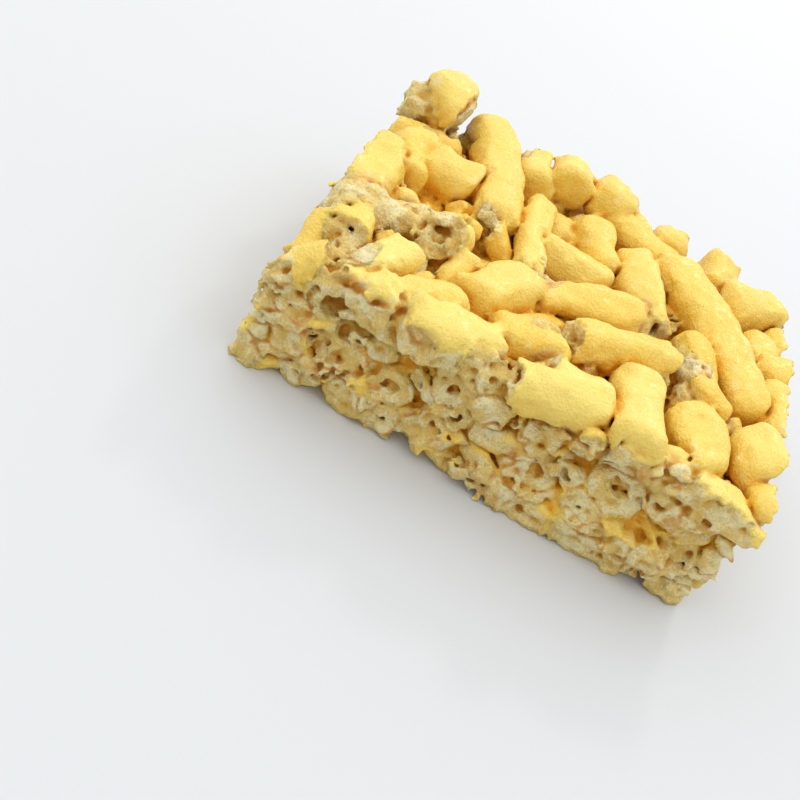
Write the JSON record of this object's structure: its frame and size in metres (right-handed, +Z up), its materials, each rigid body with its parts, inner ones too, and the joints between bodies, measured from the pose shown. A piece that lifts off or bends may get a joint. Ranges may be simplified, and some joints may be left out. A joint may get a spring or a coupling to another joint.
{
  "type": "sachima",
  "caption": "Rectangular bar of puffed dough strips bound with syrup, cut on four sides, with an uneven glazed top and a flat underside to rest on.",
  "frame": {"origin": "middle of the bar's flat underside", "axes": "+X along the bar's length, +Y across it from the front cut to the back, +Z up from the underside"},
  "size_m": [0.077, 0.061, 0.0305],
  "materials": {
    "glazed_dough": "golden fried dough under a thin coat of syrup, paler and porous where it is cut"
  },
  "bodies": {
    "root": {"sachima_bar": "glazed_dough"}
  },
  "joints": []
}
